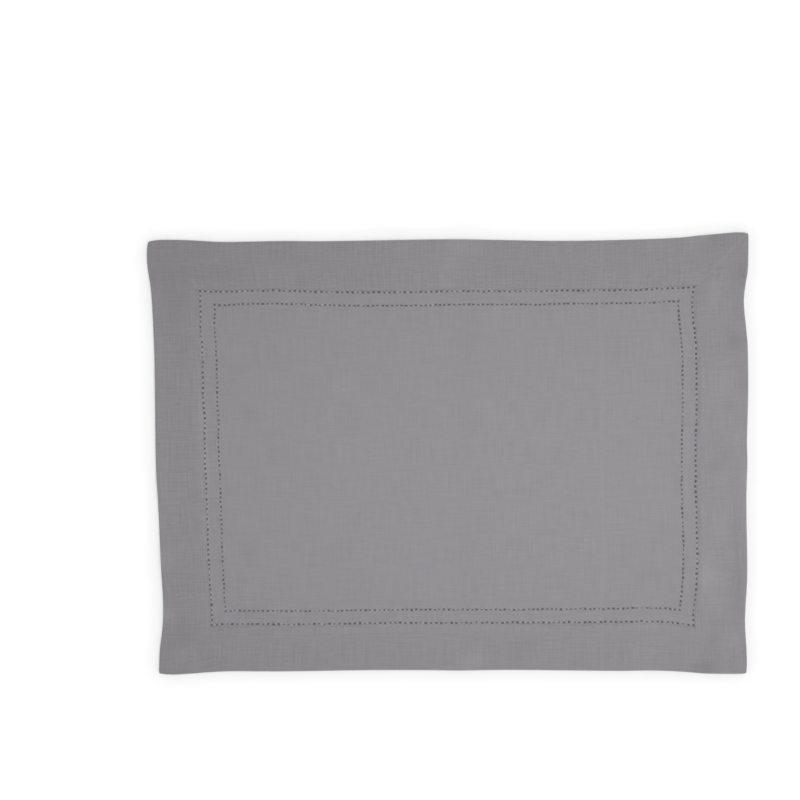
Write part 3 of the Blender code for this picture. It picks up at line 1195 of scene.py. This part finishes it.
@dataclass
class HemstitchThread:
    """The threads of one row: they bind the cloth between the holes and at their sides."""

    row: HemstitchRow
    holes: list[Hole]
    lie: Lie
    relief: Relief
    plies: Plies
    bite: float = 1.2            # how far a side stitch usually reaches past the hole
    bite_lengths: tuple[float, float] = (0.8, 1.1)     # least and most, in times that
    bite_start: float = 0.9      # where it starts, as a share of the way to the rim
    bite_stray: float = 0.15     # how far its end usually strays along the row
    wraps: tuple[float, ...] = (-0.54, -0.18, 0.18, 0.54)
    wrap_stray: float = 0.06     # how far a strand usually strays across the bar
    wrap_start: float = 0.95     # where it starts and ends, as a share of the way to the rim
    backs_each: int = 8          # strands across a hole on the reverse
    back_step: float = 0.34      # from one of them to the next
    back_past: float = 0.45      # how far they reach past the hole
    back_stray: tuple[float, float] = (0.02, 0.08)     # across the row and along it

    def skin(self, inward: float, under: bool) -> float:
        """Height of the cloth's upper or lower skin near the row."""
        height = self.plies.face_height(self.row.zone, inward)
        return height + (-1 if under else 1) * self.plies.thickness / 2

    def stitches(self) -> list[Stitch]:
        """The row's stitches, hole by hole."""
        draw = random.Random(self.row.seed + 1)
        made = []
        for hole, after in zip(self.holes, self.holes[1:] + self.holes[:1]):
            middle = Vector((hole.along, hole.up))
            run = Vector((math.cos(hole.turn), math.sin(hole.turn)))
            side = Vector((-run.y, run.x))          # inwards, because the row runs anticlockwise
            made += self.bites(draw, hole, middle, run, side)
            made += self.strands(draw, hole, after)
            made += self.backs(draw, hole, middle, run, side)
        return made

    def bites(self, draw: random.Random, hole: Hole, middle: Vector, run: Vector,
              side: Vector) -> list[Stitch]:
        """The two stitches that bite into the cloth beside a hole.

        At a corner they lie on its two outer sides, because bars leave the others.
        """
        ways = [-side, -run] if hole.corner else [side, -side]
        made = []
        for way in ways:
            edge = hole.half_width if abs(way.dot(side)) > 0.5 else hole.half_length
            start = middle + way * (edge * self.bite_start)
            end = middle + way * (edge + self.bite * draw.uniform(*self.bite_lengths))
            made.append(Stitch(start, end + run * draw.gauss(0, self.bite_stray)))
        return made

    def strands(self, draw: random.Random, hole: Hole, after: Hole) -> list[Stitch]:
        """The strands that wrap the bar between a hole and the next."""
        start, end = Vector((hole.along, hole.up)), Vector((after.along, after.up))
        run = (end - start).normalized()
        across = Vector((-run.y, run.x))
        made = []
        for wrap in self.wraps:
            off = across * (wrap + draw.gauss(0, self.wrap_stray))
            made.append(Stitch(
                start + run * hole.half_length * self.wrap_start + off,
                end - run * after.half_length * self.wrap_start + off,
            ))
        return made

    def backs(self, draw: random.Random, hole: Hole, middle: Vector, run: Vector,
              side: Vector) -> list[Stitch]:
        """The strands that cross a hole on the reverse, in dark bobbin thread that shows in the hole as
        painted shade.
        """
        made = []
        across, along = self.back_stray
        for number in range(self.backs_each):
            off = (number - (self.backs_each - 1) / 2) * self.back_step
            centre = middle + side * (off + draw.gauss(0, across)) + run * draw.gauss(0, along)
            half = run * (hole.half_length + self.back_past)
            made.append(Stitch(centre - half, centre + half, BACK_STITCH))
        return made

    def inward(self, point: Vector) -> float:
        """How far inside the row a point of the square cloth lies."""
        insets = self.lie.insets(point.x, point.y)
        return min(
            inset - self.lie.sides[edge].inset(self.row.zone, 0.0) for edge, inset in insets.items()
        )

    def seat(self, point: Vector, under: bool) -> Vector:
        """Where the end of a stitch lies, on the skin of the cloth."""
        spot = self.lie.place(point.x, point.y)
        height = self.skin(self.inward(point), under)
        return Vector((spot.x, spot.y, height + self.relief.rise(point.x, point.y, spot)))

    def matrix(self, stitch: Stitch) -> Matrix:
        """What carries the template to a stitch's place, in metres."""
        start, end = self.seat(stitch.start, stitch.under), self.seat(stitch.end, stitch.under)
        run = end - start
        normal = Vector((0, 0, -1 if stitch.under else 1))
        side = normal.cross(run).normalized()
        normal = run.cross(side).normalized()
        turn = Matrix((run, side, normal)).transposed().to_4x4()
        return Matrix.Scale(MM, 4) @ Matrix.Translation(start) @ turn

    def build(self) -> bpy.types.Object:
        """Make all the stitches of the row as one object."""
        bm = bmesh.new()
        for form in (FACE_STITCH, BACK_STITCH):
            template = form.mesh()
            for stitch in self.stitches():
                if stitch.form is form:
                    copy = template.copy()
                    copy.transform(self.matrix(stitch))
                    bm.from_mesh(copy)
                    bpy.data.meshes.remove(copy)
            bpy.data.meshes.remove(template)
        mesh = bpy.data.meshes.new(f"{self.row.name}_hemstitch")
        bm.to_mesh(mesh)
        bm.free()
        mesh.shade_smooth()
        return new_piece(mesh.name, mesh)


# --- Finishes -----------------------------------------------------------------------------


def add_node(tree: bpy.types.NodeTree, kind: str, inputs: dict[str | int, object] | None = None,
             **settings: object) -> bpy.types.Node:
    """Add a shader node with its settings, values and links.

    Args:
        tree: the node tree.
        kind: the node's type.
        inputs: for each input, by name or number, its value or the output that
            feeds it.
        **settings: the node's own settings.

    Returns:
        The node.
    """
    node = tree.nodes.new(kind)
    for name, value in settings.items():
        setattr(node, name, value)
    for key, value in (inputs or {}).items():
        if isinstance(value, bpy.types.NodeSocket):
            tree.links.new(value, node.inputs[key])
        else:
            node.inputs[key].default_value = value
    return node


@dataclass(frozen=True)
class Slub:
    """Warp threads side by side that took less dye than the rest, or more."""

    across: float        # the middle one's place, from the cloth's left side
    reach: float         # from there to where they end
    paler: float         # as a share, and below zero where they took more


@dataclass(frozen=True)
class LinenFinish:
    """Piece-dyed flax in a plain weave, washed.

    That gives a matt grey with thick and thin threads both ways. The hem is painted a little darker, as
    painted shade for the less light that comes through its plies, and a painted light falloff makes the
    cloth brightest right of the middle. The gaps between the threads carry painted shade and their crowns
    painted light.
    """

    name: str = "washed_grey_linen"
    pale: str = "A5A3A6"
    deep: str = "6B686C"
    warp_spacing: float = 0.62   # mm from thread to thread
    weft_spacing: float = 0.66
    stray: float = 0.5           # how far the threads wander, in mm
    stray_span: float = 9.0
    streak_width: float = 0.8    # of a thick or thin stretch of thread
    streak_length: float = 28.0
    weft_stir: float = 7.0       # how many times over the threads' wander stirs the weft's ones
    half_drop: float = 0.45      # half of how much lower a thread goes under than over
    relief_range: tuple[float, float] = (0.1, 0.9)     # heights with the gap's painted shade and the crown's painted light
    field_gain: float = 0.28     # how strongly such stretches show in the single cloth
    hem_gain: float = 0.39       # and in the hem, where the plies below add theirs
    # painted shade: how much darker the hem is painted, for the less light that comes through its plies
    hem_painted_shade: float = 0.955
    gap_painted_shade: float = 0.82       # painted shade between the threads
    crown_painted_light: float = 1.06     # painted light on top of them
    slubs: tuple[Slub, ...] = (
        Slub(across=364.5, reach=2.6, paler=0.03),
        Slub(across=254.5, reach=16.0, paler=-0.014),
    )
    # Painted light falloff: the cloth is painted brightest at this place and darker away from it.
    palest: tuple[float, float] = (150.0, -20.0)
    fade: float = 0.114          # how much darker it is painted at the reach below from there
    painted_falloff_reach: tuple[float, float] = (356.0, 200.0)
    weave_depth: float = 0.12
    roughness: float = 0.9
    sheen: float = 0.25

    def wandering_grain(self, tree: bpy.types.NodeTree) -> bpy.types.NodeSocket:
        """The place along the warp and weft, made to wander so that the weave isn't ruled."""
        grain = add_node(tree, "ShaderNodeUVMap", uv_map="grain").outputs["UV"]
        slow = add_node(tree, "ShaderNodeTexNoise",
                        {"Vector": grain, "Scale": 1 / self.stray_span, "Detail": 1.0})
        off = add_node(tree, "ShaderNodeVectorMath", {0: slow.outputs["Color"], 1: (0.5, 0.5, 0.5)},
                       operation="SUBTRACT").outputs[0]
        return add_node(tree, "ShaderNodeVectorMath", {0: off, 1: (self.stray,) * 3, 2: grain},
                        operation="MULTIPLY_ADD").outputs[0]

    def weave_relief(self, tree: bpy.types.NodeTree,
                     grain: bpy.types.NodeSocket) -> bpy.types.NodeSocket:
        """The height of a plain weave: each thread goes over one and under the next."""
        parts = add_node(tree, "ShaderNodeSeparateXYZ", {0: grain}).outputs
        waves = []
        for part, spacing in ((parts[0], self.warp_spacing), (parts[1], self.weft_spacing)):
            turn = add_node(tree, "ShaderNodeMath", {0: part, 1: math.pi / spacing}, operation="MULTIPLY")
            wave = add_node(tree, "ShaderNodeMath", {0: turn.outputs[0]}, operation="SINE")
            waves.append(wave.outputs[0])
        over = add_node(tree, "ShaderNodeMath", {0: waves[0], 1: waves[1]}, operation="MULTIPLY").outputs[0]
        crowns = []
        for wave, way in zip(waves, (self.half_drop, -self.half_drop)):
            crown = add_node(tree, "ShaderNodeMath", {0: wave}, operation="ABSOLUTE").outputs[0]
            held = add_node(tree, "ShaderNodeMath", {0: over, 1: way, 2: 1 - self.half_drop},
                            operation="MULTIPLY_ADD")
            crowns.append(add_node(tree, "ShaderNodeMath", {0: crown, 1: held.outputs[0]},
                                   operation="MULTIPLY").outputs[0])
        return add_node(tree, "ShaderNodeMath", {0: crowns[0], 1: crowns[1]},
                        operation="MAXIMUM").outputs[0]

    def thread_tone(self, tree: bpy.types.NodeTree, grain: bpy.types.NodeSocket,
                    hem: bpy.types.NodeSocket) -> bpy.types.NodeSocket:
        """How pale the dye is, from 0 to 1: thick and thin stretches of warp and weft."""
        tones = []
        for across, along in ((0, 1), (1, 0)):
            stretch = [0.0, 0.0, across * self.weft_stir]
            stretch[across], stretch[along] = 1 / self.streak_width, 1 / self.streak_length
            fine = add_node(tree, "ShaderNodeVectorMath", {0: grain, 1: stretch}, operation="MULTIPLY")
            tones.append(add_node(tree, "ShaderNodeTexNoise",
                                  {"Vector": fine.outputs[0], "Scale": 1.0, "Detail": 2.0}).outputs["Fac"])
        tone = add_node(tree, "ShaderNodeMath", {0: tones[0], 1: tones[1]}, operation="ADD").outputs[0]
        around = add_node(tree, "ShaderNodeMath", {0: tone, 1: 1.0}, operation="SUBTRACT").outputs[0]
        gain = add_node(tree, "ShaderNodeMapRange",
                        {"Value": hem, "To Min": self.field_gain, "To Max": self.hem_gain}).outputs[0]
        return add_node(tree, "ShaderNodeMath", {0: around, 1: gain, 2: 0.5},
                        operation="MULTIPLY_ADD").outputs[0]

    def slub_tone(self, tree: bpy.types.NodeTree,
                  grain: bpy.types.NodeSocket) -> bpy.types.NodeSocket:
        """How pale the slubs make the dye, 1 where there is none."""
        across = add_node(tree, "ShaderNodeSeparateXYZ", {0: grain}).outputs[0]
        tone = 1.0
        for slub in self.slubs:
            off = add_node(tree, "ShaderNodeMath", {0: across, 1: slub.across}, operation="SUBTRACT")
            far = add_node(tree, "ShaderNodeMath", {0: off.outputs[0]}, operation="ABSOLUTE")
            stripe = add_node(tree, "ShaderNodeMapRange",
                              {"Value": far.outputs[0], "From Max": slub.reach,
                               "To Min": slub.paler, "To Max": 0.0},
                              interpolation_type="SMOOTHSTEP")
            tone = add_node(tree, "ShaderNodeMath", {0: stripe.outputs[0], 1: tone},
                            operation="ADD").outputs[0]
        return tone

    def painted_light_falloff(self, tree: bpy.types.NodeTree) -> bpy.types.NodeSocket:
        """Painted light falloff: a slow drift, 1 where the cloth is painted brightest and lower away from
        there.
        """
        place = add_node(tree, "ShaderNodeTexCoord").outputs["Object"]
        scale = [1 / (reach * MM) for reach in self.painted_falloff_reach]
        shift = [-centre / reach for centre, reach in zip(self.palest, self.painted_falloff_reach)]
        off = add_node(tree, "ShaderNodeVectorMath", {0: place, 1: (*scale, 0.0), 2: (*shift, 0.0)},
                       operation="MULTIPLY_ADD").outputs[0]
        square = add_node(tree, "ShaderNodeVectorMath", {0: off, 1: off}, operation="DOT_PRODUCT")
        return add_node(tree, "ShaderNodeMath", {0: square.outputs["Value"], 1: -self.fade, 2: 1.0},
                        operation="MULTIPLY_ADD").outputs[0]

    def material(self) -> bpy.types.Material:
        """Make the material."""
        material = bpy.data.materials.new(self.name)
        material.use_nodes = True
        tree = material.node_tree
        shader = tree.nodes["Principled BSDF"]
        grain = self.wandering_grain(tree)
        relief = self.weave_relief(tree, grain)
        hem = add_node(tree, "ShaderNodeAttribute", attribute_name="hem_plies").outputs["Fac"]
        colour = add_node(tree, "ShaderNodeMix",
                          {0: self.thread_tone(tree, grain, hem),
                           6: srgb_colour(self.deep), 7: srgb_colour(self.pale)},
                          data_type="RGBA").outputs[2]
        # Painted shade: the hem is painted darker than the single cloth.
        plies = add_node(tree, "ShaderNodeMapRange", {"Value": hem, "To Min": 1.0, "To Max": self.hem_painted_shade})
        gap, crown = self.relief_range
        # Painted shade in the gaps between the threads and painted light on their crowns.
        weave_painted_shading = add_node(tree, "ShaderNodeMapRange",
                         {"Value": relief, "From Min": gap, "From Max": crown,
                          "To Min": self.gap_painted_shade, "To Max": self.crown_painted_light})
        # Painted light and shade: ridges, mitre crests and the folded edge painted paler, troughs painted
        # darker.
        painted_shading = add_node(tree, "ShaderNodeAttribute", attribute_name="painted_shading").outputs["Fac"]
        painted_shading_factor = add_node(tree, "ShaderNodeMath", {0: painted_shading, 1: 1.0}, operation="ADD").outputs[0]
        # Painted light falloff: brightest right of the middle, darker away from there.
        tone = self.painted_light_falloff(tree)
        for part in (plies.outputs[0], weave_painted_shading.outputs[0], painted_shading_factor, self.slub_tone(tree, grain)):
            tone = add_node(tree, "ShaderNodeMath", {0: tone, 1: part}, operation="MULTIPLY").outputs[0]
        dyed = add_node(tree, "ShaderNodeVectorMath", {0: colour, 3: tone}, operation="SCALE")
        bump = add_node(tree, "ShaderNodeBump", {"Distance": self.weave_depth * MM, "Height": relief})
        tree.links.new(dyed.outputs[0], shader.inputs["Base Color"])
        tree.links.new(bump.outputs[0], shader.inputs["Normal"])
        shader.inputs["Roughness"].default_value = self.roughness
        shader.inputs["Sheen Weight"].default_value = self.sheen
        return material


@dataclass(frozen=True)
class ThreadFinish:
    """Mercerised cotton sewing thread: a grey, a little glossier than the cloth.

    The top thread has the cloth's grey, and the bobbin thread, which crosses the holes on the reverse, is
    darker. Its darker grey is painted shade: it shows through each hole as the dark ground that stands in
    for the shade inside it.
    """

    name: str
    colour: str
    ply: float = 0.25            # mm from one ply of the thread to the next
    darkest: float = 0.8         # the least that the colour is tinted, between the plies
    palest: float = 1.2          # and the most, on them
    roughness: float = 0.7

    def material(self) -> bpy.types.Material:
        """Make the material."""
        material = bpy.data.materials.new(self.name)
        material.use_nodes = True
        tree = material.node_tree
        shader = tree.nodes["Principled BSDF"]
        place = add_node(tree, "ShaderNodeTexCoord").outputs["Object"]
        ply = add_node(tree, "ShaderNodeTexNoise", {"Vector": place, "Scale": 1 / (self.ply * MM)})
        tint = add_node(tree, "ShaderNodeMapRange",
                        {"Value": ply.outputs["Fac"], "To Min": self.darkest,
                         "To Max": self.palest}).outputs[0]
        colour = add_node(tree, "ShaderNodeVectorMath", {0: srgb_colour(self.colour)[:3], 3: tint},
                          operation="SCALE")
        tree.links.new(colour.outputs[0], shader.inputs["Base Color"])
        shader.inputs["Roughness"].default_value = self.roughness
        return material


# --- The studio ---------------------------------------------------------------------------


@dataclass(frozen=True)
class Studio:
    """A white floor, soft light all round and a camera straight above."""

    frame_px: int = 800
    mm_per_px: float = 0.816
    origin_px: tuple[float, float] = (447.64, 453.43)   # where the placemat's origin shows
    camera_height: float = 3000.0
    sensor: float = 36.0         # width of the camera's sensor
    sight: float = 100.0         # how far the camera sees, in metres
    floor_size: float = 8000.0
    floor_drop: float = 0.02     # keeps the floor just clear of the cloth
    floor_white: str = "F4F4F4"
    dome: float = 0.82           # radiance of the dome's upper part
    lean: float = 0.6            # how much brighter the dome is on its bright side
    lean_turn: float = -15.0     # where that side is, in degrees from +X
    skirt: float = 15.0          # what the dome's bright low band adds
    skirt_low: float = 0.04      # the band's lowest place, as the sine of its elevation
    skirt_high: float = 0.18
    softbox_power: float = 4.0   # in watts
    softbox_size: float = 1000.0
    softbox_place: tuple[float, float, float] = (400.0, -150.0, 2200.0)

    def build_floor(self) -> bpy.types.Object:
        """Lay the floor."""
        bm = bmesh.new()
        bmesh.ops.create_grid(bm, x_segments=1, y_segments=1, size=self.floor_size / 2 * MM,
                              matrix=Matrix.Translation((0, 0, -self.floor_drop * MM)))
        mesh = bpy.data.meshes.new("studio_floor")
        bm.to_mesh(mesh)
        bm.free()
        material = bpy.data.materials.new("white_floor")
        material.use_nodes = True
        shader = material.node_tree.nodes["Principled BSDF"]
        shader.inputs["Base Color"].default_value = srgb_colour(self.floor_white)
        shader.inputs["Roughness"].default_value = 1.0
        shader.inputs["Specular IOR Level"].default_value = 0.0
        mesh.materials.append(material)
        return new_piece("studio_floor", mesh)

    def place_camera(self) -> None:
        """Hang the camera above the middle of the frame, looking straight down."""
        camera = bpy.data.cameras.new("camera")
        half = self.frame_px / 2
        camera.sensor_width = self.sensor
        camera.lens = camera.sensor_width * self.camera_height / (self.frame_px * self.mm_per_px)
        camera.clip_end = self.sight
        holder = bpy.data.objects.new("camera", camera)
        holder.location = Vector((
            (half - self.origin_px[0]) * self.mm_per_px,
            (self.origin_px[1] - half) * self.mm_per_px,
            self.camera_height,
        )) * MM
        bpy.context.scene.collection.objects.link(holder)
        bpy.context.scene.camera = holder

    def hang_softbox(self) -> None:
        """Hang a square light, facing down, over the right of the placemat."""
        light = bpy.data.lights.new("softbox", "AREA")
        light.energy = self.softbox_power
        light.size = self.softbox_size * MM
        holder = bpy.data.objects.new("softbox", light)
        holder.location = Vector(self.softbox_place) * MM
        bpy.context.scene.collection.objects.link(holder)

    def raise_dome(self) -> None:
        """Light the world as a dome: brighter to one side, with a bright band low all round.

        The band falls on the floor at a low angle. The placemat keeps it off the
        floor beside it, which gives the soft halo round its edge.
        """
        world = bpy.data.worlds.new("dome")
        world.use_nodes = True
        tree = world.node_tree
        way = add_node(tree, "ShaderNodeTexCoord").outputs["Generated"]
        height = add_node(tree, "ShaderNodeSeparateXYZ", {0: way}).outputs[2]
        turn = math.radians(self.lean_turn)
        bright_side = (math.cos(turn), math.sin(turn), 0.0)
        towards = add_node(tree, "ShaderNodeVectorMath", {0: way, 1: bright_side},
                           operation="DOT_PRODUCT").outputs["Value"]
        slanting = add_node(tree, "ShaderNodeMath", {0: towards, 1: height}, operation="MULTIPLY")
        upper = add_node(tree, "ShaderNodeMath",
                         {0: slanting.outputs[0], 1: 2 * self.lean * self.dome, 2: self.dome},
                         operation="MULTIPLY_ADD").outputs[0]
        middle = (self.skirt_low + self.skirt_high) / 2
        off = add_node(tree, "ShaderNodeMath", {0: height, 1: middle}, operation="SUBTRACT")
        far = add_node(tree, "ShaderNodeMath", {0: off.outputs[0]}, operation="ABSOLUTE").outputs[0]
        band = add_node(tree, "ShaderNodeMapRange",
                        {"Value": far, "From Max": self.skirt_high - middle,
                         "To Min": self.skirt, "To Max": 0.0},
                        interpolation_type="SMOOTHSTEP").outputs[0]
        total = add_node(tree, "ShaderNodeMath", {0: upper, 1: band}, operation="ADD").outputs[0]
        tree.links.new(total, tree.nodes["Background"].inputs["Strength"])
        tree.nodes["Background"].inputs["Color"].default_value = (1, 1, 1, 1)
        bpy.context.scene.world = world

    def build(self) -> None:
        """Set up the whole studio."""
        self.place_camera()
        self.build_floor()
        self.hang_softbox()
        self.raise_dome()
        bpy.context.scene.view_settings.view_transform = "Standard"


# --- Putting it together --------------------------------------------------------------------


def ride(piece: bpy.types.Object, *materials: bpy.types.Material) -> None:
    """Dress a piece and let it move with the placemat."""
    for material in materials:
        piece.data.materials.append(material)
    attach(piece, BODY)
    log.info("%s: %d vertices, %d faces", piece.name, len(piece.data.vertices), len(piece.data.polygons))


def main() -> None:
    logging.basicConfig(level=logging.INFO, format="%(name)s: %(message)s")
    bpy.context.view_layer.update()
    Studio().build()
    lie = Lie()
    relief = Relief(lie)
    placemat = PlacematCloth(lie, relief)
    cloth = placemat.build()
    ride(cloth, LinenFinish().material())
    top_thread = ThreadFinish("grey_sewing_thread", "9C9A9D").material()
    # Painted shade: the bobbin thread is darker so that the holes read dark.
    bobbin_thread_painted_shade = ThreadFinish("bobbin_thread_painted_hole_shade", "6A686B").material()
    for row in placemat.rows:
        stitches = HemstitchThread(row, placemat.holes[row.zone], lie, relief, placemat.plies).build()
        ride(stitches, top_thread, bobbin_thread_painted_shade)
    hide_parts(NODE)
    placemat.cut_area


if __name__ == "__main__":
    main()
